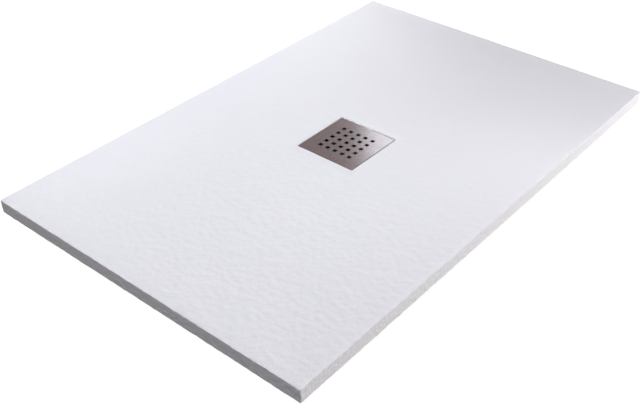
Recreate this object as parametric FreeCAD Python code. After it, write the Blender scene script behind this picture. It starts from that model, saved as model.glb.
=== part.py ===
import FreeCAD, Part
import math
import os

from FreeCAD import Vector

# Shower tray: a thin dished slab of mineral resin under a gelcoat skin, with a square
# grate over a central drain and the low trap that is clamped through the slab's hole.
#
# Frame: millimetres, +Z up, origin at the centre of the slab's flat underside. X runs
# along the long side. The slab lies on its underside, and the trap hangs below it.

# ---------------------------------------------------------------------------
# Driving sizes
# ---------------------------------------------------------------------------

# Slab
tray_length = 1200.0
tray_width = 800.0
tray_height = 30.0
gelcoat_thickness = 2.0  # with its slate relief
corner_radius = 3.0  # upright corners
arris_radius = 1.2  # top outer edge
rim_width = 20.0  # flat band round the dish
dish_fall = 4.0  # from the rim to the drain
cove_width = 160.0  # curved band inside the rim
cove_fall = 2.6  # part of the fall that the curved band takes

# Grate: a plate folded down on four sides, with a square grid of square holes
grate_size = 150.0
grate_thickness = 1.5
grate_skirt_depth = 6.8
grate_corner_radius = 2.5
grate_edge_radius = 1.0
grate_hole = 9.0
grate_pitch = 20.0
grate_holes_per_side = 5
grate_side_clearance = 1.0  # grate to recess wall
grate_sink = 0.2  # grate below the dish at the drain
pad_size = 14.0
pad_height = 2.0

# Flange, its gasket and its screws
flange_radius = 57.0
flange_thickness = 2.0
flange_sink = 1.0  # flange below the recess floor
flange_seat_clearance = 3.0  # flange edge to the wall of its seat
gasket_thickness = 2.0
gasket_width = 10.0
drain_hole_radius = 45.0
neck_bore_radius = 33.5
neck_wall = 2.0
neck_end_gap = 1.0  # neck above the trap's rim
screw_count = 4
screw_circle_radius = 41.0
screw_radius = 2.5
screw_length = 30.0
screw_head_radius = 4.4
screw_head_height = 2.8
screw_recess_width = 1.2
screw_recess_length = 5.0
screw_recess_depth = 1.6
screw_hole_clearance = 0.25
screw_first_angle = 45.0

# Trap housing under the slab
lower_seat_depth = 3.5  # round recess in the slab's underside
lower_gasket_thickness = 3.0
trap_rim_thickness = 3.0
housing_bore_radius = 46.0
housing_wall = 3.0
boss_radius = 5.5
boss_floor = 2.0
boss_screw_gap = 1.0  # screw tip above the boss floor
insert_length = 12.0
insert_wall = 1.0
thread_gap = 0.05  # screw to insert, and insert to boss

# Siphon: dip tube, O-ring and pot, which lift out together
collar_clearance = 0.3  # collar to the flange's neck
collar_depth = 12.0
collar_wall = 2.0
lip_width = 2.2
lip_thickness = 1.5
funnel_depth = 20.0
funnel_wall = 1.8
tube_radius = 18.0
tube_wall = 1.5
o_ring_section = 2.7
o_ring_neck_gap = 0.2
o_ring_groove_gap = 0.1
pot_radius = 30.0
pot_wall = 2.0
pot_rim_drop = 22.0  # pot rim below the trap's rim
water_seal = 36.0  # pot rim above the tube's mouth
tube_mouth_gap = 8.0  # tube's mouth above the pot's floor
pot_floor_gap = 5.0  # pot above the housing's floor
fin_count = 3
fin_first_angle = 90.0
fin_thickness = 2.4
fin_height = 14.0
fin_rim_drop = 5.0  # fin below the pot's rim
peg_height = 5.0
clip_gap = 0.3  # fins and pegs to the pot

# Strainer
strainer_thickness = 1.5
strainer_clearance = 0.3
strainer_ledge = 2.2
strainer_sink = 3.2  # strainer below the collar's lip
strainer_hole_radius = 2.4
strainer_row_radii = (11.0, 17.5, 24.0)
strainer_row_counts = (8, 14, 20)
grip_radius = 4.0
grip_height = 4.5
grip_waist_radius = 2.6

# Outlet: ball joint and pipe socket
outlet_bore_radius = 16.5
outlet_sill = 3.0  # outlet's passage above the housing's floor
passage_clearance = 1.5  # passage beyond the ball's bore
ball_radius = 26.0
ball_gap = 0.3
ball_cut = 17.0  # flat back of the ball, from its centre
ball_seal_section = 4.0
ball_seal_gap = 0.1
spigot_lip = 1.2
spigot_root = 5.0  # spigot's start inside the housing's bore, where the bore cuts it
nut_gap = 0.3
nut_wall = 3.5
ball_nut_grip = 16.0  # length of its thread
ball_nut_lip = 10.0
tail_radius = 19.0
tail_length = 30.0
tail_taper = 4.0
pipe_radius = 20.0  # waste pipe that the socket takes
pipe_clearance = 0.2
socket_depth = 30.0
socket_wall = 4.3
pipe_seal_thickness = 4.0
pipe_seal_clearance = 0.35
slip_ring_thickness = 1.2
compression_nut_grip = 14.0
compression_nut_lip = 3.5
nut_mouth_clearance = 0.6
nut_rib_count = 12
rib_radius = 2.2
rib_standout = 1.4

# ---------------------------------------------------------------------------
# Levels and places that follow
# ---------------------------------------------------------------------------

recess_half = grate_size / 2 + grate_side_clearance
dish_floor = tray_height - dish_fall
grate_top = dish_floor - grate_sink
grate_bottom = grate_top - grate_skirt_depth
recess_floor = grate_bottom - pad_height
flange_face = recess_floor - flange_sink
flange_back = flange_face - flange_thickness
flange_seat = flange_back - gasket_thickness
flange_seat_radius = flange_radius + flange_seat_clearance

trap_rim_top = lower_seat_depth - lower_gasket_thickness
pot_rim = trap_rim_top - pot_rim_drop
tube_mouth = pot_rim - water_seal
pot_floor = tube_mouth - tube_mouth_gap
pot_bottom = pot_floor - pot_wall
housing_floor = pot_bottom - pot_floor_gap
housing_bottom = housing_floor - housing_wall
housing_radius = housing_bore_radius + housing_wall

screw_tip = flange_face - screw_length
boss_hole_bottom = screw_tip - boss_screw_gap
boss_bottom = boss_hole_bottom - boss_floor
insert_radius = screw_radius + thread_gap + insert_wall

collar_radius = neck_bore_radius - collar_clearance
lip_radius = neck_bore_radius + lip_width
lip_top = flange_face + lip_thickness
collar_bottom = flange_face - collar_depth
pocket_radius = collar_radius - collar_wall
strainer_radius = pocket_radius - strainer_clearance
strainer_seat = lip_top - strainer_sink - strainer_thickness
funnel_radius = pocket_radius - strainer_ledge
funnel_end = strainer_seat - funnel_depth
tube_bore_radius = tube_radius - tube_wall
o_ring_level = flange_face - collar_depth / 2
o_ring_centre_radius = neck_bore_radius - o_ring_neck_gap - o_ring_section / 2

passage_radius = outlet_bore_radius + passage_clearance
outlet_level = housing_floor + outlet_sill + passage_radius
ball_centre = housing_radius + ball_radius
seat_radius = ball_radius + ball_gap
seal_pocket_radius = seat_radius + ball_seal_section + ball_seal_gap
spigot_radius = seal_pocket_radius + spigot_lip
spigot_end = ball_seal_section / 2
socket_bore_radius = pipe_radius + pipe_clearance
socket_radius = socket_bore_radius + socket_wall
socket_end = tail_length + socket_depth
slip_ring_start = socket_end + pipe_seal_thickness
nut_lip_start = slip_ring_start + slip_ring_thickness

TOLERANCE = 1e-6
ABOVE = tray_height  # cutting tools reach this far past the top
BELOW = -tray_height  # and this low under the slab
UP = Vector(0, 0, 1)
CENTRE = Vector(0, 0, 0)

# ---------------------------------------------------------------------------
# Shape helpers
# ---------------------------------------------------------------------------


def cylinder(radius, bottom, top, x=0.0, y=0.0):
    return Part.makeCylinder(radius, top - bottom, Vector(x, y, bottom))


def ring(outer, inner, bottom, top):
    return cylinder(outer, bottom, top).cut(cylinder(inner, bottom, top))


def block(half_x, half_y, bottom, top, x=0.0, y=0.0):
    corner = Vector(x - half_x, y - half_y, bottom)
    return Part.makeBox(2 * half_x, 2 * half_y, top - bottom, corner)


def rounded_block(half_x, half_y, bottom, top, radius):
    """Upright block whose four upright corners are rounded."""
    solid = block(half_x, half_y, bottom, top)
    upright = [e for e in solid.Edges if abs(e.tangentAt(e.FirstParameter).z) > 0.5]
    return solid.makeFillet(radius, upright)


def round_top_edge(solid, radius):
    top = solid.BoundBox.ZMax
    edges = [e for e in solid.Edges if abs(e.BoundBox.ZMin - top) < TOLERANCE]
    return solid.makeFillet(radius, edges)


def turned(outline):
    """Solid of revolution about Z, from a closed outline of (radius, height) points."""
    points = [Vector(radius, 0, height) for radius, height in outline]
    face = Part.Face(Part.makePolygon(points + points[:1]))
    return face.revolve(CENTRE, UP, 360)


def angles_round(count, first_angle=0.0):
    return [first_angle + 360.0 * i / count for i in range(count)]


def places_round(count, radius, first_angle=0.0):
    """Points evenly spaced on a circle about Z, as (x, y)."""
    turns = [math.radians(angle) for angle in angles_round(count, first_angle)]
    return [(radius * math.cos(turn), radius * math.sin(turn)) for turn in turns]


def at_screws(make):
    """One copy of a shape at each screw."""
    places = places_round(screw_count, screw_circle_radius, screw_first_angle)
    return [make(x, y) for x, y in places]


def on_outlet(shape):
    """Moves a shape from the outlet's own frame, where Z leaves the trap and 0 is the ball's centre."""
    placed = shape.copy()
    placed.rotate(CENTRE, Vector(1, 0, 0), -90)
    placed.translate(Vector(0, ball_centre, outlet_level))
    return placed


def ribbed_barrel(radius, bottom, top):
    """Cylinder with finger ribs round it, for a nut that is turned by hand."""
    ribs = [
        cylinder(rib_radius, bottom, top, x, y)
        for x, y in places_round(nut_rib_count, radius + rib_standout - rib_radius)
    ]
    return cylinder(radius, bottom, top).fuse(ribs).removeSplitter()


# ---------------------------------------------------------------------------
# Slab
# ---------------------------------------------------------------------------


def dish_prism(half_span, half_across, along, lowered):
    """The space above the dish's line in one direction, swept straight across the other.

    The line falls from the rim through a curved cove and a gentle slope to the drain.
    """
    rim = tray_height - lowered
    cove_end = half_span - cove_width
    cove_level = rim - cove_fall
    drain_level = rim - dish_fall
    slope = (cove_level - drain_level) / (cove_end - recess_half)
    cove_pull = (half_span - cove_width / 2, cove_level + slope * cove_width / 2)

    def at(u, z):
        return Vector(u, -half_across, z) if along == "x" else Vector(-half_across, u, z)

    edges = []
    for side in (-1, 1):
        curve = Part.BezierCurve()
        curve.setPoles([at(side * half_span, rim), at(side * cove_pull[0], cove_pull[1]),
                        at(side * cove_end, cove_level)])
        edges.append(curve.toShape())
        edges.append(Part.makeLine(at(side * cove_end, cove_level), at(side * recess_half, drain_level)))
        edges.append(Part.makeLine(at(side * half_span, rim), at(side * half_span, rim + ABOVE)))
    edges.append(Part.makeLine(at(-recess_half, drain_level), at(recess_half, drain_level)))
    edges.append(Part.makeLine(at(-half_span, rim + ABOVE), at(half_span, rim + ABOVE)))
    face = Part.Face(Part.Wire(Part.__sortEdges__(edges)))
    sweep = Vector(0, 2 * half_across, 0) if along == "x" else Vector(2 * half_across, 0, 0)
    return face.extrude(sweep)


def dish_void(lowered):
    """Four facets that meet on the lines from the rim's corners to the drain's corners."""
    half_x = tray_length / 2 - rim_width
    half_y = tray_width / 2 - rim_width
    along_x = dish_prism(half_x, half_y, "x", lowered)
    along_y = dish_prism(half_y, half_x, "y", lowered)
    return along_x.common(along_y)


def slab_form(inset):
    """The slab's outer form, moved in by inset on its top, sides and drain recess."""
    half_x = tray_length / 2 - inset
    half_y = tray_width / 2 - inset
    form = rounded_block(half_x, half_y, 0.0, tray_height - inset, corner_radius - inset)
    if inset == 0:
        form = round_top_edge(form, arris_radius)
    tools = [
        dish_void(inset),
        block(recess_half + inset, recess_half + inset, recess_floor - inset, tray_height + ABOVE),
        cylinder(flange_seat_radius + inset, flange_seat - inset, recess_floor),
        cylinder(drain_hole_radius, BELOW, recess_floor),
        cylinder(flange_seat_radius, BELOW, lower_seat_depth),
    ]
    return form.cut(tools)


def tray_core():
    return slab_form(gelcoat_thickness)


def gelcoat_shell():
    return slab_form(0).cut(slab_form(gelcoat_thickness))


# ---------------------------------------------------------------------------
# Grate and its pads
# ---------------------------------------------------------------------------


def drain_grate():
    half = grate_size / 2
    inner = half - grate_thickness
    plate = round_top_edge(
        rounded_block(half, half, grate_bottom, grate_top, grate_corner_radius), grate_edge_radius
    )
    inner_radius = grate_corner_radius - grate_thickness
    hollow = rounded_block(inner, inner, BELOW, grate_top - grate_thickness, inner_radius)
    first = -grate_pitch * (grate_holes_per_side - 1) / 2
    steps = [first + grate_pitch * i for i in range(grate_holes_per_side)]
    holes = [block(grate_hole / 2, grate_hole / 2, grate_bottom, ABOVE, x, y) for x in steps for y in steps]
    return plate.cut([hollow] + holes)


def grate_pads():
    place = grate_size / 2 - pad_size / 2
    pads = [
        block(pad_size / 2, pad_size / 2, recess_floor, grate_bottom, side_x * place, side_y * place)
        for side_x in (-1, 1)
        for side_y in (-1, 1)
    ]
    return Part.makeCompound(pads)


# ---------------------------------------------------------------------------
# Flange, gaskets and screws
# ---------------------------------------------------------------------------


def waste_flange():
    neck_radius = neck_bore_radius + neck_wall
    body = turned([
        (neck_bore_radius, trap_rim_top + neck_end_gap),
        (neck_radius, trap_rim_top + neck_end_gap),
        (neck_radius, flange_back),
        (flange_radius, flange_back),
        (flange_radius, flange_face),
        (neck_bore_radius, flange_face),
    ])
    hole_radius = screw_radius + screw_hole_clearance
    return body.cut(at_screws(lambda x, y: cylinder(hole_radius, flange_back, flange_face, x, y)))


def flange_gasket():
    return ring(flange_radius, flange_radius - gasket_width, flange_seat, flange_back)


def lower_gasket():
    return ring(flange_radius, flange_radius - gasket_width, trap_rim_top, lower_seat_depth)


def flange_screw(x, y):
    head_top = flange_face + screw_head_height
    body = cylinder(screw_head_radius, flange_face, head_top, x, y)
    body = round_top_edge(body, screw_head_height / 2)
    body = body.fuse(cylinder(screw_radius, screw_tip, flange_face, x, y))
    bottom = head_top - screw_recess_depth
    half_length = screw_recess_length / 2
    half_width = screw_recess_width / 2
    return body.cut([
        block(half_length, half_width, bottom, head_top, x, y),
        block(half_width, half_length, bottom, head_top, x, y),
    ])


def flange_screws():
    return Part.makeCompound(at_screws(flange_screw))


def thread_insert(x, y):
    bottom = trap_rim_top - insert_length
    outer = cylinder(insert_radius, bottom, trap_rim_top, x, y)
    return outer.cut(cylinder(screw_radius + thread_gap, bottom, trap_rim_top, x, y))


def thread_inserts():
    return Part.makeCompound(at_screws(thread_insert))


# ---------------------------------------------------------------------------
# Trap housing
# ---------------------------------------------------------------------------


def trap_body():
    body = turned([
        (0, housing_bottom),
        (housing_radius, housing_bottom),
        (housing_radius, trap_rim_top - trap_rim_thickness),
        (flange_radius, trap_rim_top - trap_rim_thickness),
        (flange_radius, trap_rim_top),
        (0, trap_rim_top),
    ])
    spigot_start = housing_bore_radius - spigot_root - ball_centre
    body = body.fuse(on_outlet(cylinder(spigot_radius, spigot_start, spigot_end)))
    body = body.cut([
        cylinder(housing_bore_radius, housing_floor, trap_rim_top),
        on_outlet(cylinder(passage_radius, -ball_centre, 0)),
        on_outlet(Part.makeSphere(seat_radius)),
        on_outlet(cylinder(seal_pocket_radius, -spigot_end - ball_seal_gap, spigot_end)),
    ])
    bosses = at_screws(lambda x, y: cylinder(boss_radius, boss_bottom, trap_rim_top, x, y))
    body = body.fuse(bosses)
    pocket = insert_radius + thread_gap
    return body.cut(at_screws(lambda x, y: cylinder(pocket, boss_hole_bottom, trap_rim_top, x, y)))


# ---------------------------------------------------------------------------
# Siphon
# ---------------------------------------------------------------------------


def funnel_bore(level):
    """Radius of the funnel's inside at a level between its mouth and its end."""
    share = (level - funnel_end) / (strainer_seat - funnel_end)
    return tube_bore_radius + share * (funnel_radius - tube_bore_radius)


def dip_tube():
    groove_half = o_ring_section / 2 + o_ring_groove_gap
    groove_radius = o_ring_centre_radius - groove_half
    tube = turned([
        (pocket_radius, lip_top),
        (lip_radius, lip_top),
        (lip_radius, flange_face),
        (collar_radius, flange_face),
        (collar_radius, o_ring_level + groove_half),
        (groove_radius, o_ring_level + groove_half),
        (groove_radius, o_ring_level - groove_half),
        (collar_radius, o_ring_level - groove_half),
        (collar_radius, collar_bottom),
        (funnel_bore(collar_bottom) + funnel_wall, collar_bottom),
        (tube_radius, funnel_end),
        (tube_radius, tube_mouth),
        (tube_bore_radius, tube_mouth),
        (tube_bore_radius, funnel_end),
        (funnel_radius, strainer_seat),
        (pocket_radius, strainer_seat),
    ])
    fins = []
    for angle in angles_round(fin_count, fin_first_angle):
        fin = fin_with_peg()
        fin.rotate(CENTRE, UP, angle)
        fins.append(fin)
    return tube.fuse(fins)


def peg_levels():
    middle = pot_rim - fin_rim_drop - fin_height / 2
    return middle - peg_height / 2, middle + peg_height / 2


def fin_with_peg():
    """Flat rib from the tube to the pot's wall, with a peg that reaches through the wall."""
    start = (tube_radius + tube_bore_radius) / 2
    fin_end = pot_radius - pot_wall - clip_gap
    top = pot_rim - fin_rim_drop
    low, high = peg_levels()
    corner = Vector(start, -fin_thickness / 2, top - fin_height)
    fin = Part.makeBox(fin_end - start, fin_thickness, fin_height, corner)
    peg_corner = Vector(start, -fin_thickness / 2, low)
    return fin.fuse(Part.makeBox(pot_radius - start, fin_thickness, high - low, peg_corner))


def dip_tube_o_ring():
    return Part.makeTorus(o_ring_centre_radius, o_ring_section / 2, Vector(0, 0, o_ring_level))


def siphon_pot():
    inner = pot_radius - pot_wall
    pot = turned([
        (0, pot_bottom),
        (pot_radius, pot_bottom),
        (pot_radius, pot_rim),
        (inner, pot_rim),
        (inner, pot_floor),
        (0, pot_floor),
    ])
    low, high = peg_levels()
    slots = []
    for angle in angles_round(fin_count, fin_first_angle):
        slot = block(
            pot_radius, fin_thickness / 2 + clip_gap, low - clip_gap, high + clip_gap, pot_radius
        )
        slot.rotate(CENTRE, UP, angle)
        slots.append(slot)
    return pot.cut(slots)


def hair_strainer():
    top = strainer_seat + strainer_thickness
    disc = cylinder(strainer_radius, strainer_seat, top)
    holes = [
        cylinder(strainer_hole_radius, strainer_seat, top, x, y)
        for ring_radius, count in zip(strainer_row_radii, strainer_row_counts)
        for x, y in places_round(count, ring_radius)
    ]
    grip = turned([
        (0, top),
        (grip_waist_radius, top),
        (grip_waist_radius, top + grip_height / 2),
        (grip_radius, top + grip_height),
        (0, top + grip_height),
    ])
    return disc.cut(holes).fuse(grip)


# ---------------------------------------------------------------------------
# Outlet, in its own frame until it is placed
# ---------------------------------------------------------------------------


def outlet_ball_pipe():
    ball = Part.makeSphere(ball_radius).common(cylinder(ball_radius, -ball_cut, ball_radius))
    outside = turned([
        (0, 0),
        (tail_radius, 0),
        (tail_radius, tail_length - tail_taper),
        (socket_radius, tail_length),
        (socket_radius, socket_end),
        (0, socket_end),
    ])
    body = ball.fuse(outside).cut([
        cylinder(outlet_bore_radius, -ball_cut, tail_length),
        cylinder(socket_bore_radius, tail_length, socket_end),
    ])
    return on_outlet(body)


def ball_seal():
    return on_outlet(Part.makeTorus(seat_radius + ball_seal_section / 2, ball_seal_section / 2))


def ball_nut():
    inner = spigot_radius + nut_gap
    shoulder = spigot_end + nut_gap
    start = shoulder - ball_nut_grip
    body = ribbed_barrel(inner + nut_wall, start, shoulder + ball_nut_lip)
    return on_outlet(body.cut([cylinder(inner, start, shoulder), Part.makeSphere(seat_radius)]))


def pipe_seal():
    inner = pipe_radius + pipe_seal_clearance
    return on_outlet(ring(socket_radius, inner, socket_end, slip_ring_start))


def slip_ring():
    inner = pipe_radius + nut_mouth_clearance
    return on_outlet(ring(socket_radius, inner, slip_ring_start, nut_lip_start))


def compression_nut():
    inner = socket_radius + nut_gap
    start = socket_end - compression_nut_grip
    end = nut_lip_start + compression_nut_lip
    body = ribbed_barrel(inner + nut_wall, start, end)
    mouth = pipe_radius + nut_mouth_clearance
    return on_outlet(body.cut([cylinder(inner, start, nut_lip_start), cylinder(mouth, start, end)]))


# ---------------------------------------------------------------------------
# Output: one file for each piece
# ---------------------------------------------------------------------------

PIECES = (
    gelcoat_shell,
    tray_core,
    drain_grate,
    grate_pads,
    hair_strainer,
    waste_flange,
    flange_gasket,
    flange_screws,
    lower_gasket,
    trap_body,
    thread_inserts,
    dip_tube,
    dip_tube_o_ring,
    siphon_pot,
    outlet_ball_pipe,
    ball_seal,
    ball_nut,
    pipe_seal,
    slip_ring,
    compression_nut,
)

os.makedirs("parts", exist_ok=True)
for make_piece in PIECES:
    piece = make_piece()
    piece.exportStep("parts/" + make_piece.__name__ + ".step")
    print(make_piece.__name__, len(piece.Solids), "solids, valid:", piece.isValid())
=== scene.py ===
import math

import bmesh
import bpy
import numpy as np
from mathutils import Matrix, Vector


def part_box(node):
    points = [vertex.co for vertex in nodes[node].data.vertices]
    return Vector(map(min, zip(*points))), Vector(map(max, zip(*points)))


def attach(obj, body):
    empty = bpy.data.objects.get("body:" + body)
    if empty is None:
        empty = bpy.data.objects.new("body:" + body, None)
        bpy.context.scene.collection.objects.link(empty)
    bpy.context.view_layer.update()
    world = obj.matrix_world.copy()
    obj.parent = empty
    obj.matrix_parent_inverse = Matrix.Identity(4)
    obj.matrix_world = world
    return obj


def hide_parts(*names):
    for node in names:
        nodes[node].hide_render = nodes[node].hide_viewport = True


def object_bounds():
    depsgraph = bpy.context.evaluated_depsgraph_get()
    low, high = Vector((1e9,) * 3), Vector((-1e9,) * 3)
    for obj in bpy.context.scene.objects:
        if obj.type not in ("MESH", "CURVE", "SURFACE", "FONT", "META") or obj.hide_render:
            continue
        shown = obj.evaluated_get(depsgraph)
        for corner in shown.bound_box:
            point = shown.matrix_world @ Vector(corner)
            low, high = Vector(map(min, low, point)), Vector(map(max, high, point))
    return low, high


# Shower tray: the slab's gelcoat skin as a modelled slate relief, finishes for every piece
# of the drain, and a plain white studio. Metres throughout, in the frame's own axes.

MM = 0.001

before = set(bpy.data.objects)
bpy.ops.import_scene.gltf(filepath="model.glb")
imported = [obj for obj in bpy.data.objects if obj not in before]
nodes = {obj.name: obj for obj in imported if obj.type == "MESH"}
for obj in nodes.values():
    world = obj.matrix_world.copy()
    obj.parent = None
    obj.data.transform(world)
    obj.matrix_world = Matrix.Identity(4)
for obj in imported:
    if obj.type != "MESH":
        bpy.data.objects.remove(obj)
cad_bounds = [list(corner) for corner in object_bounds()]

# ---------------------------------------------------------------------------
# Sizes: what the frame gives, and the slab's own form
# ---------------------------------------------------------------------------

slab_low, slab_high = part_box("gelcoat_shell")
core_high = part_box("tray_core")[1]
grate_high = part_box("drain_grate")[1]
pads_low, pads_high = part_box("grate_pads")
flange_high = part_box("waste_flange")[1]
gasket_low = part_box("flange_gasket")[0]

RECESS_GAP = 1.0 * MM  # from the grate and its pads to the recess wall
GRATE_SINK = 0.2 * MM  # how far the plate lies below the dish round it
SEAT_GAP = 3.0 * MM  # from the flange to the wall of its seat

HALF_LENGTH = slab_high.x
HALF_WIDTH = slab_high.y
TOP = slab_high.z
SKIN = TOP - core_high.z
RECESS_HALF = pads_high.x + RECESS_GAP
DRAIN_LEVEL = grate_high.z + GRATE_SINK
RECESS_FLOOR = pads_low.z
SEAT_FLOOR = gasket_low.z
SEAT_RADIUS = flange_high.x + SEAT_GAP
DRAIN_RADIUS = 45.0 * MM

RIM = 20.0 * MM
COVE = 160.0 * MM
COVE_FALL = 2.6 * MM
CREASE_BLEND = 0.25 * MM  # how softly the dish's four facets meet

CORNER_RADIUS = 3.0 * MM
ARRIS = 0.9 * MM
RECESS_CORNER = 2.0 * MM
RECESS_ARRIS = 0.8 * MM
HOLES_REACH = 55.0 * MM  # from the grate's middle to past its outermost holes

GRID_PITCH = 3.5 * MM  # spacing of the top's vertices
SIDE_PITCH = 3.7 * MM  # of the upright faces' rows
INNER_PITCH = 40.0 * MM  # and of the hidden face on the core
ONE_ROW = 1.0  # a pitch longer than any upright wall of that face
EDGE_STEPS = 3  # quads round each rounded edge
FLOOR_ROWS = 4  # rings of quads across each level floor of the recess
SHARP = math.radians(50)  # edges sharper than this stay sharp
TINY = 1e-7  # metres, within which lines count as lying on each other
WHOLE = 1e-6  # share of a step, within which a count is whole

# Slate relief, in the skin. Each size is how wide the spots of a noise are, each share is how
# strong a fine noise is next to its broad one, and each bend is how far the warp shifts a noise,
# in spots.
GRAIN_TURN = math.radians(-51)
GRAIN_STRETCH = 1.5
WARP_SIZE = 30.0 * MM
LAYER_SIZE = 48.0 * MM
LAYER_BEND = 0.5
FINE_LAYER_SIZE = 20.0 * MM
FINE_LAYER_BEND = 0.4
FINE_LAYER_SHARE = 0.6
LAYER_DEPTH = 0.1 * MM
LAYERS = 4.0
LAYER_STEEPNESS = 2.2
RIPPLE_SIZE = 8.4 * MM
RIPPLE_BEND = 0.8
FINE_RIPPLE_SIZE = 5.6 * MM
FINE_RIPPLE_SHARE = 0.4
RIPPLE_DEPTH = 0.62 * MM
ROUGHEST = 1.3  # how strong the relief is at the -X -Y corner
CALMEST = 0.28  # and at the opposite one
CALM_MIDDLE = 0.78  # how far towards the calm end the middle is
CALM_ALONG = 0.7  # how much further towards it the +X end is
CALM_ACROSS = 0.18  # and the +Y side
CHIP_SIZE = 11.0 * MM
FINE_CHIP_SIZE = 5.0 * MM
FINE_CHIP_SHARE = 0.6
CHIP_BIAS = 0.25  # raises the share of the outer arris that is chipped
CHIP_DEPTH = 1.0 * MM  # extra wear along the outer arris
CHIP_REACH = 5.0 * MM
MEAN_DEPTH = 0.6 * MM
DEEPEST = 1.6 * MM
SMOOTH_LIP = 3.0 * MM  # there is no relief within this distance of the recess
SMOOTH_BORDER = 15.0 * MM  # and it grows to its full depth over this width


# ---------------------------------------------------------------------------
# Noise
# ---------------------------------------------------------------------------


CELL_STEPS = np.array([374761393, 668265263, 2147483647])  # large odd numbers that scatter
SEED_STEP = 974634777  # the lattice's cells and the seeds
MIXERS = ((15, 2246822519), (13, 3266489917))  # the shift and the factor of each mixing round
LOW_32 = 0xFFFFFFFF  # masks for a number's lowest bits
LOW_16 = 0xFFFF


def hashed(cells, seed):
    """A fixed whole number from 0 to 65535 for each lattice cell."""
    mixed = (cells @ CELL_STEPS + seed * SEED_STEP) & LOW_32
    for shift, factor in MIXERS:
        mixed = ((mixed ^ (mixed >> shift)) * factor) & LOW_32
    return (mixed ^ (mixed >> 16)) & LOW_16


def solid_noise(points, seed):
    """Smooth gradient noise over a unit lattice, about -0.6 to 0.6."""
    base = np.floor(points)
    part = points - base
    cells = base.astype(np.int64)
    ease = part ** 3 * (part * (part * 6 - 15) + 10)
    total = np.zeros(len(points))
    for corner in np.ndindex(2, 2, 2):
        step = np.array(corner)
        key = hashed(cells + step, seed)
        height = (key & 0xFF) / 127.5 - 1
        turn = (key >> 8) * (2 * math.pi / 256)
        flat = np.sqrt(1 - height ** 2)
        gradient = np.stack([flat * np.cos(turn), flat * np.sin(turn), height], axis=1)
        weight = np.prod(np.where(step, ease, 1 - ease), axis=1)
        total += weight * np.sum(gradient * (part - step), axis=1)
    return total


def eased(value):
    """A smooth step from 0 to 1."""
    value = np.clip(value, 0, 1)
    return value * value * (3 - 2 * value)


# ---------------------------------------------------------------------------
# The slab's skin
# ---------------------------------------------------------------------------


def dish_line(distance, half_span):
    """Height of the dish along one direction: a level rim, a curved cove and a gentle slope."""
    cove_end = half_span - COVE
    cove_level = TOP - COVE_FALL
    slope = (cove_level - DRAIN_LEVEL) / (cove_end - RECESS_HALF)
    pull = cove_level + slope * COVE / 2
    t = np.clip((half_span - distance) / COVE, 0, 1)
    cove = (1 - t) ** 2 * TOP + 2 * t * (1 - t) * pull + t ** 2 * cove_level
    plain = np.maximum(cove_level - slope * (cove_end - distance), DRAIN_LEVEL)
    return np.where(distance > cove_end, cove, plain)


def dish_height(x, y):
    """The higher of the dish's heights along its two directions, with the creases softened."""
    along = dish_line(np.abs(x), HALF_LENGTH - RIM)
    across = dish_line(np.abs(y), HALF_WIDTH - RIM)
    blend = CREASE_BLEND * np.clip((TOP - np.maximum(along, across)) / MM, 0, 1)
    return (along + across + np.sqrt((along - across) ** 2 + blend ** 2)) / 2


def slate_depth(points):
    """Depth of the relief below the face: thin broken layers, short ripples and a worn outer arris."""
    turned = points @ np.array(Matrix.Rotation(GRAIN_TURN, 3, "Z"))
    grain = turned * np.array([1 / GRAIN_STRETCH, 1, 1])
    warp = np.stack([solid_noise(grain / WARP_SIZE, seed) for seed in (11, 12, 13)], axis=1)
    layers = solid_noise(grain / LAYER_SIZE + LAYER_BEND * warp, 21)
    fine_layers = solid_noise(grain / FINE_LAYER_SIZE + FINE_LAYER_BEND * warp, 22)
    layers = (layers + FINE_LAYER_SHARE * fine_layers) * LAYERS
    whole = np.floor(layers)
    layers = whole + eased((layers - whole) * LAYER_STEEPNESS)
    ripples = solid_noise(grain / RIPPLE_SIZE + RIPPLE_BEND * warp, 31)
    ripples = ripples + FINE_RIPPLE_SHARE * solid_noise(grain / FINE_RIPPLE_SIZE, 32)
    relief = LAYER_DEPTH * layers + RIPPLE_DEPTH * ripples
    chips = CHIP_BIAS + solid_noise(points / CHIP_SIZE, 41)
    chips = np.clip(chips + FINE_CHIP_SHARE * solid_noise(points / FINE_CHIP_SIZE, 42), 0, 1)
    worn = eased(1 - edge_distance(points) / CHIP_REACH)
    depth = MEAN_DEPTH + relief_strength(points) * relief + CHIP_DEPTH * worn * chips
    return np.clip(depth, 0, DEEPEST)


def relief_strength(points):
    """Strongest at the -X -Y corner and calmest at the opposite one."""
    along, across = points[:, 0] / HALF_LENGTH, points[:, 1] / HALF_WIDTH
    calm = eased(CALM_MIDDLE + CALM_ALONG * along + CALM_ACROSS * across)
    return ROUGHEST + (CALMEST - ROUGHEST) * calm


def edge_distance(points):
    """How far points lie from the sharp edge that the top and the sides would share."""
    inset = np.minimum(HALF_LENGTH - np.abs(points[:, 0]), HALF_WIDTH - np.abs(points[:, 1]))
    return np.hypot(inset, TOP - points[:, 2])


def grid_lines(stops, pitch):
    """Lines through every stop on both sides of zero, evenly spaced between the stops."""
    lines = [0.0]
    for stop in stops:
        count = max(1, math.ceil((stop - lines[-1]) / pitch - WHOLE))
        lines += list(np.linspace(lines[-1], stop, count + 1)[1:])
    return np.array([-line for line in reversed(lines[1:])] + lines)


def arc_stops(edge, radius):
    """Places on a straight edge that the rounding moves to 0, 22.5 and 45 degrees of its arc."""
    return [edge - radius, edge - radius + math.sqrt(2) * math.sin(math.pi / 8) * radius, edge]


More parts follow.
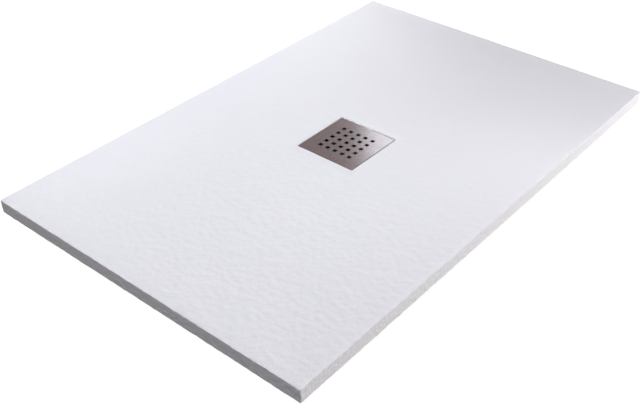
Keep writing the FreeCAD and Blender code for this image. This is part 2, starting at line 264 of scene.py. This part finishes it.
def rounded(points, half_x, half_y, radius):
    """Moves points of a rectangle's corner squares into its corner arcs."""
    moved = points.copy()
    size = np.abs(points[:, :2])
    inner = np.array([half_x - radius, half_y - radius])
    u, v = ((size - inner) / radius).T
    near = (u > 0) & (v > 0)
    u, v = np.clip(u, 0, 1), np.clip(v, 0, 1)
    disc = np.stack([u * np.sqrt(1 - v ** 2 / 2), v * np.sqrt(1 - u ** 2 / 2)], axis=1)
    moved[near, :2] = (np.sign(points[:, :2]) * (inner + radius * disc))[near]
    return moved


def outward(points, half_x, half_y, radius):
    """Level unit normals of a rounded rectangle at points on its outline."""
    inner = np.array([half_x - radius, half_y - radius])
    off = np.maximum(np.abs(points[:, :2]) - inner, 0) * np.sign(points[:, :2])
    flat = off / np.linalg.norm(off, axis=1, keepdims=True)
    return np.column_stack([flat, np.zeros(len(flat))])


class Skin:
    """Vertices and faces of the skin while it is built."""

    def __init__(self):
        self.points = []
        self.faces = []

    def add(self, points):
        """New vertices at points. Returns their numbers."""
        first = len(self.points)
        self.points += [tuple(p) for p in points]
        return list(range(first, len(self.points)))

    def band(self, loop, points):
        """A ring of quads from a closed loop to new points, one for each of its vertices."""
        new = self.add(points)
        for i in range(len(loop)):
            j = (i + 1) % len(loop)
            self.faces.append((loop[i], loop[j], new[j], new[i]))
        return new

    def at(self, loop):
        """The points of a loop's vertices."""
        return np.array([self.points[i] for i in loop])

    def move(self, loop, points):
        """Moves a loop's vertices to new points."""
        for vertex, point in zip(loop, points):
            self.points[vertex] = tuple(point)

    def stitch(self, loop_a, loop_b):
        """Triangles between two closed loops round the Z axis with different numbers of vertices."""
        starts = []
        for loop in (loop_a, loop_b):
            spot = self.at(loop)
            angle = np.arctan2(spot[:, 1], spot[:, 0])
            order = np.argsort(angle)
            ends = np.append(angle[order], angle[order[0]] + 2 * math.pi)
            starts.append(([loop[i] for i in order] + [loop[order[0]]], ends))
        (a, turn_a), (b, turn_b) = starts
        i = j = 0
        while i < len(loop_a) or j < len(loop_b):
            if j == len(loop_b) or (i < len(loop_a) and turn_a[i + 1] <= turn_b[j + 1]):
                self.faces.append((a[i], a[i + 1], b[j]))
                i += 1
            else:
                self.faces.append((a[i], b[j + 1], b[j]))
                j += 1


def sheet_with_hole(skin, lines_x, lines_y, hole_half, height):
    """A grid of quads with a square hole. Returns the outer loop and the hole's loop."""
    count_x, count_y = len(lines_x), len(lines_y)
    x, y = np.meshgrid(lines_x, lines_y, indexing="ij")
    inside = (np.abs(x) < hole_half - TINY) & (np.abs(y) < hole_half - TINY)
    index = np.full(x.shape, -1)
    index[~inside] = np.arange((~inside).sum())
    flat = np.column_stack([x[~inside], y[~inside], np.zeros((~inside).sum())])
    flat[:, 2] = height(flat[:, 0], flat[:, 1])
    first = skin.add(flat)[0]
    middle_x, middle_y = (lines_x[:-1] + lines_x[1:]) / 2, (lines_y[:-1] + lines_y[1:]) / 2
    for i in range(count_x - 1):
        for j in range(count_y - 1):
            if abs(middle_x[i]) < hole_half and abs(middle_y[j]) < hole_half:
                continue
            ring = (index[i, j], index[i + 1, j], index[i + 1, j + 1], index[i, j + 1])
            skin.faces.append(tuple(int(first + k) for k in ring))
    outer = rectangle_loop(index, 0, count_x - 1, 0, count_y - 1)
    hole_x = np.flatnonzero(np.abs(np.abs(lines_x) - hole_half) < TINY)
    hole_y = np.flatnonzero(np.abs(np.abs(lines_y) - hole_half) < TINY)
    hole = rectangle_loop(index, hole_x[0], hole_x[-1], hole_y[0], hole_y[-1])
    return [int(first + k) for k in outer], [int(first + k) for k in hole]


def rectangle_loop(index, low_x, high_x, low_y, high_y):
    """The vertices round a rectangle of the grid, in order."""
    bottom = [index[i, low_y] for i in range(low_x, high_x)]
    right = [index[high_x, j] for j in range(low_y, high_y)]
    top = [index[i, high_y] for i in range(high_x, low_x, -1)]
    left = [index[low_x, j] for j in range(high_y, low_y, -1)]
    return bottom + right + top + left


def rounded_edge(skin, loop, direction, radius):
    """Quads that turn a level loop down through a quarter circle towards a direction."""
    start = skin.at(loop)
    for step in range(1, EDGE_STEPS + 1):
        turn = math.pi / 2 * step / EDGE_STEPS
        drop = np.array([0, 0, -radius * (1 - math.cos(turn))])
        loop = skin.band(loop, start + direction * radius * math.sin(turn) + drop)
    return loop


def to_level(skin, loop, level, pitch):
    """Rows of quads straight down to a level."""
    start = skin.at(loop)
    rows = max(1, math.ceil(np.max(start[:, 2] - level) / pitch - WHOLE))
    for row in range(1, rows + 1):
        points = start.copy()
        points[:, 2] += (level - start[:, 2]) * row / rows
        loop = skin.band(loop, points)
    return loop


def to_circle(skin, loop, radius, rows):
    """Rows of quads across a level floor to a circle."""
    start = skin.at(loop)
    angle = np.arctan2(start[:, 1], start[:, 0])
    end = np.column_stack([radius * np.cos(angle), radius * np.sin(angle), start[:, 2]])
    for row in range(1, rows + 1):
        loop = skin.band(loop, start + (end - start) * row / rows)
    return loop


def outer_face(skin):
    """The face that shows: top, sides, drain recess and the flange's seat."""
    edge_x, edge_y = HALF_LENGTH - ARRIS, HALF_WIDTH - ARRIS
    corner = CORNER_RADIUS - ARRIS
    hole, hole_corner = RECESS_HALF + RECESS_ARRIS, RECESS_CORNER + RECESS_ARRIS
    lines_x = grid_lines(arc_stops(hole, hole_corner) + arc_stops(edge_x, corner), GRID_PITCH)
    lines_y = grid_lines(arc_stops(hole, hole_corner) + arc_stops(edge_y, corner), GRID_PITCH)
    rim, well = sheet_with_hole(skin, lines_x, lines_y, hole, dish_height)
    skin.points = [tuple(p) for p in rounded(np.array(skin.points), edge_x, edge_y, corner)]
    side = outward(skin.at(rim), edge_x, edge_y, corner)
    rim = rounded_edge(skin, rim, side, ARRIS)
    foot = to_level(skin, rim, slab_low.z, SIDE_PITCH)
    skin.move(well, rounded(skin.at(well), hole, hole, hole_corner))
    side = outward(skin.at(well), hole, hole, hole_corner)
    well = rounded_edge(skin, well, -side, RECESS_ARRIS)
    well = to_level(skin, well, RECESS_FLOOR, SIDE_PITCH)
    well = to_circle(skin, well, SEAT_RADIUS, FLOOR_ROWS)
    well = to_level(skin, well, SEAT_FLOOR, SIDE_PITCH)
    well = to_circle(skin, well, DRAIN_RADIUS, FLOOR_ROWS)
    return foot, well


def inner_face(skin):
    """The face on the core, one skin thickness inside."""
    half_x, half_y = HALF_LENGTH - SKIN, HALF_WIDTH - SKIN
    hole = RECESS_HALF + SKIN
    first = len(skin.points)
    rim, well = sheet_with_hole(
        skin,
        grid_lines([hole, half_x], INNER_PITCH),
        grid_lines([hole, half_y], INNER_PITCH),
        hole,
        lambda x, y: dish_height(x, y) - SKIN,
    )
    inner = rounded(np.array(skin.points[first:]), half_x, half_y, CORNER_RADIUS - SKIN)
    skin.points[first:] = [tuple(p) for p in inner]
    foot = to_level(skin, rim, slab_low.z, ONE_ROW)
    well = to_level(skin, well, RECESS_FLOOR - SKIN, ONE_ROW)
    well = to_circle(skin, well, SEAT_RADIUS + SKIN, 1)
    well = to_level(skin, well, SEAT_FLOOR - SKIN, ONE_ROW)
    well = to_circle(skin, well, DRAIN_RADIUS, 1)
    return foot, well


def gelcoat_skin():
    """The whole skin as one closed piece that takes the plain one's place."""
    skin = Skin()
    outer_foot, outer_well = outer_face(skin)
    outer_count = len(skin.points)
    inner_foot, inner_well = inner_face(skin)
    skin.stitch(outer_foot, inner_foot)
    skin.stitch(outer_well, inner_well)
    mesh = bpy.data.meshes.new("gelcoat_skin")
    mesh.from_pydata(skin.points, [], skin.faces)
    piece = bpy.data.objects.new("gelcoat_skin", mesh)
    bpy.context.scene.collection.objects.link(piece)
    face_outward(mesh)
    press_relief(mesh, outer_count)
    mesh.shade_smooth()
    mesh.set_sharp_from_angle(angle=SHARP)
    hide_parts("gelcoat_shell")
    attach(piece, "tray")
    return piece


def face_outward(mesh):
    """Turns every face of a closed mesh outward."""
    work = bmesh.new()
    work.from_mesh(mesh)
    bmesh.ops.recalc_face_normals(work, faces=work.faces)
    work.to_mesh(mesh)
    work.free()
    mesh.update()


def press_relief(mesh, outer_count):
    """Sinks the outer face's vertices along their normals by the relief's depth."""
    count = len(mesh.vertices)
    spots = np.zeros(count * 3)
    mesh.vertices.foreach_get("co", spots)
    spots = spots.reshape(-1, 3)
    normals = np.zeros(count * 3, np.float32)
    mesh.vertex_normals.foreach_get("vector", normals)
    normals = normals.reshape(-1, 3)
    outer = spots[:outer_count]
    reach = np.maximum(np.abs(outer[:, 0]), np.abs(outer[:, 1])) - RECESS_HALF
    fade = eased((reach - SMOOTH_LIP) / SMOOTH_BORDER)
    depth = slate_depth(outer) * fade
    spots[:outer_count] = outer - normals[:outer_count] * depth[:, None]
    mesh.vertices.foreach_set("co", spots.ravel())
    mesh.update()


# ---------------------------------------------------------------------------
# Finishes
# ---------------------------------------------------------------------------


RECESS_SHADE_MARGIN = 0.5 * MM  # how far the painted shade in the recess reaches past its wall
RECESS_SHADE_DROP = 2.0 * MM  # how far below the dish the painted shade starts
CRISP_END = -0.58  # metres, the X up to which the skin's fine grain is crispest
DULL_END = -0.1  # and from which it is dullest


class Finish:
    """A material with a principled shader and helpers for its procedural nodes."""

    def __init__(self, name, color, roughness, metallic=0.0, specular=0.5):
        self.material = bpy.data.materials.new(name)
        self.material.use_nodes = True
        self.tree = self.material.node_tree
        self.shader = self.tree.nodes["Principled BSDF"]
        self.shader.inputs["Base Color"].default_value = (*color, 1)
        self.shader.inputs["Roughness"].default_value = roughness
        self.shader.inputs["Metallic"].default_value = metallic
        self.shader.inputs["Specular IOR Level"].default_value = specular
        self.height = None

    def node(self, kind, **settings):
        """A new node of the material with its settings."""
        made = self.tree.nodes.new(kind)
        for key, value in settings.items():
            setattr(made, key, value)
        return made

    def link(self, start, end):
        self.tree.links.new(start, end)

    def noise(self, size, detail=2.0, stretch=(1, 1, 1), turn=0.0, distortion=0.0):
        """Noise in the piece's own space, whose spots are about size metres wide, from 0 to 1."""
        place = self.node("ShaderNodeTexCoord")
        mapping = self.node("ShaderNodeMapping")
        mapping.inputs["Rotation"].default_value = (0, 0, turn)
        mapping.inputs["Scale"].default_value = stretch
        pattern = self.node("ShaderNodeTexNoise")
        pattern.inputs["Scale"].default_value = 1 / size
        pattern.inputs["Detail"].default_value = detail
        pattern.inputs["Distortion"].default_value = distortion
        self.link(place.outputs["Object"], mapping.inputs["Vector"])
        self.link(mapping.outputs["Vector"], pattern.inputs["Vector"])
        return pattern.outputs["Fac"]

    def spread(self, value, low, high, start=0.3, end=0.7):
        """Maps a pattern's value onto a range."""
        ranged = self.node("ShaderNodeMapRange")
        ranged.inputs["From Min"].default_value = start
        ranged.inputs["From Max"].default_value = end
        ranged.inputs["To Min"].default_value = low
        ranged.inputs["To Max"].default_value = high
        self.link(value, ranged.inputs["Value"])
        return ranged.outputs["Result"]

    def shade(self, value, dark, light, start=0.3, end=0.7):
        """Colours the surface from dark to light by a pattern."""
        ramp = self.node("ShaderNodeValToRGB")
        ramp.color_ramp.elements[0].position = start
        ramp.color_ramp.elements[0].color = (*dark, 1)
        ramp.color_ramp.elements[1].position = end
        ramp.color_ramp.elements[1].color = (*light, 1)
        self.link(value, ramp.inputs["Fac"])
        self.link(ramp.outputs["Color"], self.shader.inputs["Base Color"])

    def rough(self, value, low, high):
        """Varies the roughness from low to high by a pattern."""
        self.link(self.spread(value, low, high), self.shader.inputs["Roughness"])

    def math(self, operation, *values):
        """Blender's maths operation of that name on patterns, numbers or both."""
        made = self.node("ShaderNodeMath", operation=operation)
        for socket, value in zip(made.inputs, values):
            if isinstance(value, (int, float)):
                socket.default_value = value
            else:
                self.link(value, socket)
        return made.outputs["Value"]

    def product(self, first, second):
        return self.math("MULTIPLY", first, second)

    def parts(self, vector):
        """The X, Y and Z of one of the piece's own coordinates: its Object place or its Normal."""
        made = self.node("ShaderNodeSeparateXYZ")
        self.link(self.node("ShaderNodeTexCoord").outputs[vector], made.inputs["Vector"])
        return made.outputs

    def upright(self, level, steep):
        """0 where the size of the normal's Z is over level, 1 where it is under steep."""
        size = self.math("ABSOLUTE", self.parts("Normal")["Z"])
        return self.spread(size, 0.0, 1.0, level, steep)

    def tint(self, part, color):
        """Gives another colour to the part of the surface where a pattern is 1."""
        base = self.shader.inputs["Base Color"]
        mix = self.node("ShaderNodeMix", data_type="RGBA")
        self.link(part, mix.inputs["Factor"])
        self.link(base.links[0].from_socket, mix.inputs["A"])
        mix.inputs["B"].default_value = (*color, 1)
        self.link(mix.outputs["Result"], base)

    def within(self, half):
        """1 where both X and Y are within a distance of the piece's own Z axis."""
        place = self.parts("Object")
        reach = self.math("MAXIMUM", self.math("ABSOLUTE", place["X"]), self.math("ABSOLUTE", place["Y"]))
        return self.math("LESS_THAN", reach, half)

    def bump(self, value, depth):
        """Adds a pattern to the surface's fine relief. Depth in metres."""
        made = self.node("ShaderNodeBump")
        made.inputs["Distance"].default_value = depth
        self.link(value, made.inputs["Height"])
        if self.height is not None:
            self.link(self.height, made.inputs["Normal"])
        self.height = made.outputs["Normal"]
        self.link(self.height, self.shader.inputs["Normal"])


def gelcoat():
    """White skin with a fine grain, and painted shade: grey in the recess under the grate, where shade
    falls.
    """
    finish = Finish("gelcoat", (0.77, 0.768, 0.81), 0.5, specular=0.4)
    finish.shade(finish.noise(60 * MM, detail=4), (0.766, 0.765, 0.807), (0.775, 0.771, 0.812))
    # Painted shade: the recess below the dish is tinted grey, standing in for the shade under the grate.
    in_recess = finish.within(RECESS_HALF + RECESS_SHADE_MARGIN)
    sunk = finish.math("LESS_THAN", finish.parts("Object")["Z"], DRAIN_LEVEL - RECESS_SHADE_DROP)
    finish.tint(finish.product(in_recess, sunk), (0.5, 0.5, 0.505))
    finish.rough(finish.noise(14 * MM, detail=3), 0.42, 0.56)
    grain = finish.noise(7 * MM, stretch=(1 / GRAIN_STRETCH, 1, 1), turn=GRAIN_TURN, distortion=0.6)
    crispness = finish.spread(finish.parts("Object")["X"], 1.0, 0.1, CRISP_END, DULL_END)
    finish.bump(finish.product(grain, crispness), 0.7 * MM)
    finish.bump(finish.noise(1.2 * MM), 0.008 * MM)
    finish.bump(finish.product(finish.noise(8 * MM, detail=3), finish.upright(0.75, 0.35)), 2.0 * MM)
    return finish.material


def resin():
    """Cast mineral resin, speckled and rough."""
    finish = Finish("resin_core", (0.72, 0.71, 0.68), 0.8, specular=0.3)
    finish.shade(finish.noise(1.6 * MM, detail=3), (0.6, 0.58, 0.55), (0.78, 0.77, 0.74))
    finish.rough(finish.noise(6 * MM), 0.7, 0.9)
    finish.bump(finish.noise(2.5 * MM, detail=3), 0.25 * MM)
    return finish.material


def scaled(color, share):
    """A colour made darker or lighter, up to white."""
    return tuple(min(1, share * part) for part in color)


def brushed_steel(name, color, low, high):
    """Steel with brush lines along X. Low and high are its roughness."""
    finish = Finish(name, color, (low + high) / 2, metallic=1.0)
    lines = finish.noise(0.4 * MM, detail=3, stretch=(0.02, 1, 1))
    finish.rough(lines, low, high)
    finish.bump(lines, 0.01 * MM)
    finish.shade(finish.noise(25 * MM, detail=3), scaled(color, 0.94), scaled(color, 1.04))
    return finish


def grate_steel():
    """Brushed plate with dull, dark laser-cut hole edges, partly real cut oxide and partly painted shade in
    the holes, and an underside painted dark as shade.
    """
    finish = brushed_steel("grate_steel", (0.56, 0.54, 0.535), 0.13, 0.19)
    # Partly real cut oxide and partly painted shade: the hole walls are made near black so the holes read
    # dark.
    cut_edges_and_shade = finish.product(finish.within(HOLES_REACH), finish.upright(0.6, 0.4))
    finish.tint(cut_edges_and_shade, (0.02, 0.016, 0.018))
    # Painted shade: the plate's underside is darkened where it lies in shade over the recess.
    painted_underside_shade = finish.spread(finish.parts("Normal")["Z"], 1.0, 0.0, -0.6, -0.4)
    finish.tint(painted_underside_shade, (0.06, 0.05, 0.052))
    return finish.material


def turned_metal(name, color, low, high):
    """Metal of a small turned piece, with a fine even grain."""
    finish = Finish(name, color, (low + high) / 2, metallic=1.0)
    finish.rough(finish.noise(1.5 * MM, detail=3), low, high)
    finish.bump(finish.noise(0.3 * MM), 0.008 * MM)
    finish.shade(finish.noise(4 * MM), scaled(color, 0.88), color)
    return finish.material


def moulded(name, color, low, high, grain=0.6 * MM, specular=0.5):
    """Plastic or rubber with a faint moulded grain and uneven gloss."""
    finish = Finish(name, color, (low + high) / 2, specular=specular)
    finish.shade(finish.noise(18 * MM, detail=3), scaled(color, 0.93), scaled(color, 1.03))
    finish.rough(finish.noise(7 * MM, detail=3), low, high)
    finish.bump(finish.noise(grain), 0.02 * MM)
    return finish.material


def dress(name, material):
    """Gives a CAD piece one finish all over."""
    mesh = nodes[name].data
    mesh.materials.clear()
    mesh.materials.append(material)


# ---------------------------------------------------------------------------
# Studio
# ---------------------------------------------------------------------------

FLOOR_LEVEL = cad_bounds[0][2] - 1.0 * MM  # just below the lowest piece
FLOOR_SIZE = 12.0
FLOOR_GLOW = 0.97
SURROUND = (0.1, 0.1, 0.103)  # as a light
SURROUND_IN_GLOSS = (0.29, 0.225, 0.23)
NEUTRAL = (1.0, 1.0, 1.0)
COOL = (0.985, 1.003, 1.04)
WARM = (1.03, 1.0, 0.965)


def floor():
    """A wide glowing floor that lights nothing, with an opening under the slab to see it from below."""
    half = FLOOR_SIZE / 2
    outer = [(-half, -half, 0), (half, -half, 0), (half, half, 0), (-half, half, 0)]
    inner = [(x / half * HALF_LENGTH, y / half * HALF_WIDTH, 0) for x, y, _ in outer]
    faces = [(i, (i + 1) % 4, (i + 1) % 4 + 4, i + 4) for i in range(4)]
    mesh = bpy.data.meshes.new("floor")
    mesh.from_pydata(outer + inner, [], faces)
    piece = bpy.data.objects.new("floor", mesh)
    bpy.context.scene.collection.objects.link(piece)
    piece.location.z = FLOOR_LEVEL
    finish = Finish("floor", (0.3, 0.3, 0.3), 0.9, specular=0.0)
    finish.shader.inputs["Emission Color"].default_value = (*NEUTRAL, 1)
    finish.shader.inputs["Emission Strength"].default_value = FLOOR_GLOW
    mesh.materials.append(finish.material)
    piece.visible_diffuse = False
    piece.visible_glossy = False


def softbox(name, place, aim, size, power, tint=NEUTRAL, spread=180.0):
    """A rectangular light. Power in watts, spread in degrees."""
    data = bpy.data.lights.new(name, "AREA")
    data.shape = "RECTANGLE"
    data.size, data.size_y = size
    data.energy = power
    data.color = tint
    data.spread = math.radians(spread)
    lamp = bpy.data.objects.new(name, data)
    bpy.context.scene.collection.objects.link(lamp)
    lamp.location = place
    lamp.rotation_euler = (Vector(aim) - Vector(place)).to_track_quat("-Z", "Y").to_euler()
    lamp.visible_camera = False
    return lamp


def light_only(lamp, piece):
    """Lets a lamp light and show in one piece alone."""
    receivers = bpy.data.collections.new("lit_by_" + lamp.name)
    receivers.objects.link(piece)
    lamp.light_linking.receiver_collection = receivers


def studio_air():
    """A dim even surround, brighter in reflections and white where the camera looks past the floor."""
    world = bpy.data.worlds.new("studio")
    bpy.context.scene.world = world
    world.use_nodes = True
    tree = world.node_tree
    path = tree.nodes.new("ShaderNodeLightPath")
    shown = tree.nodes["Background"]
    shown.inputs["Color"].default_value = (*SURROUND, 1)
    for ray, color in (("Is Glossy Ray", SURROUND_IN_GLOSS), ("Is Camera Ray", NEUTRAL)):
        other = tree.nodes.new("ShaderNodeBackground")
        other.inputs["Color"].default_value = (*color, 1)
        mix = tree.nodes.new("ShaderNodeMixShader")
        tree.links.new(path.outputs[ray], mix.inputs["Fac"])
        tree.links.new(shown.outputs[0], mix.inputs[1])
        tree.links.new(other.outputs["Background"], mix.inputs[2])
        shown = mix
    tree.links.new(shown.outputs["Shader"], tree.nodes["World Output"].inputs["Surface"])


SENSOR = 36.0  # millimetres
PHOTO_WIDTH = 640  # pixels
PHOTO_FOCAL = 957.3  # pixels
PHOTO_AXIS_X = 354.0  # pixels, where the lens looks
EYE = (-1.3427, -1.1149, 1.1569)
HEADING = math.radians(-50.81)
TILT = math.radians(90 - 36.49)
ROLL = math.radians(-0.105)


def camera():
    """The photograph's own view of the tray."""
    data = bpy.data.cameras.new("camera")
    data.sensor_width = SENSOR
    data.lens = data.sensor_width * PHOTO_FOCAL / PHOTO_WIDTH
    data.shift_x = -(PHOTO_AXIS_X - PHOTO_WIDTH / 2) / PHOTO_WIDTH
    data.clip_start = 0.05
    data.clip_end = 50
    piece = bpy.data.objects.new("camera", data)
    bpy.context.scene.collection.objects.link(piece)
    turned = Matrix.Rotation(HEADING, 4, "Z") @ Matrix.Rotation(TILT, 4, "X") @ Matrix.Rotation(ROLL, 4, "Z")
    piece.matrix_world = Matrix.Translation(EYE) @ turned
    bpy.context.scene.camera = piece


camera()
skin = gelcoat_skin()
skin.data.materials.append(gelcoat())

dress("tray_core", resin())
dress("drain_grate", grate_steel())
dress("waste_flange", brushed_steel("flange_steel", (0.3, 0.3, 0.3), 0.2, 0.28).material)
dress("flange_screws", turned_metal("screw_steel", (0.3, 0.3, 0.3), 0.3, 0.42))
dress("thread_inserts", turned_metal("insert_brass", (0.78, 0.62, 0.32), 0.2, 0.35))
dress("grate_pads", moulded("pad_silicone", (0.75, 0.75, 0.74), 0.45, 0.6))
rubber = moulded("seal_rubber", (0.035, 0.035, 0.036), 0.55, 0.75, grain=0.9 * MM)
for name in ("flange_gasket", "lower_gasket", "dip_tube_o_ring", "ball_seal", "pipe_seal"):
    dress(name, rubber)
trap_plastic = moulded("trap_plastic", (0.8, 0.8, 0.79), 0.3, 0.45)
for name in ("trap_body", "outlet_ball_pipe"):
    dress(name, trap_plastic)
siphon_plastic = moulded("siphon_plastic", (0.25, 0.27, 0.29), 0.32, 0.48)
for name in ("dip_tube", "siphon_pot"):
    dress(name, siphon_plastic)
dress("hair_strainer", moulded("strainer_plastic", (0.022, 0.022, 0.024), 0.4, 0.55, specular=0.25))
nut_plastic = moulded("nut_plastic", (0.7, 0.7, 0.69), 0.35, 0.5)
for name in ("ball_nut", "slip_ring", "compression_nut"):
    dress(name, nut_plastic)

floor()
studio_air()
softbox("overhead", (0.0, 0.0, 3.0), (0, 0, 0), (3.0, 3.0), 27.7, COOL)
softbox("overhead_front", (-1.5, -1.5, 2.5), (0, 0, 0), (2.0, 2.0), 24.0, COOL)
softbox("left_fill", (-1.6, 0.4, 1.2), (-0.2, 0.1, 0), (0.6, 1.2), 4.8, WARM)
softbox("back_strip", (0.0, 0.95, 0.6), (0.0, 0.38, 0), (1.2, 0.15), 0.75, COOL, spread=60)
softbox("back_low", (3.0, 2.5, 0.7), (-0.3, -0.2, 0), (1.2, 0.5), 36.4, COOL)
fills = [
    softbox("overhead_left", (-0.55, 0.1, 2.2), (-0.55, 0.1, 0), (0.8, 0.8), 0.36, COOL, spread=36),
    softbox("overhead_middle", (0.0, -0.25, 2.2), (0.0, -0.25, 0), (0.5, 0.5), 0.188, COOL, spread=28),
    softbox("overhead_edge", (0.2, -0.42, 1.4), (0.2, -0.42, 0), (0.3, 0.3), 0.052, COOL, spread=24),
    softbox("low_key", (1.6, -1.6, 0.6), (0.5, -0.3, 0), (1.0, 0.6), 7.4, WARM),
    softbox("side_key", (1.5, -2.6, 0.7), (0.1, -0.4, 0), (1.0, 0.6), 66.0, WARM),
    softbox("under_fill", (0.0, 0.0, -1.5), (0, 0, 0), (1.6, 1.2), 12.0),
]
for lamp in fills:
    lamp.visible_glossy = False  # they light the object and leave no bright spots in its gloss
grate_card = softbox("grate_card", (2.39, 1.375, 1.62), (0, 0, 0.03), (0.7, 0.7), 2.4, (0.82, 0.86, 0.94))
light_only(grate_card, nodes["drain_grate"])

bpy.context.scene.view_settings.view_transform = "Standard"
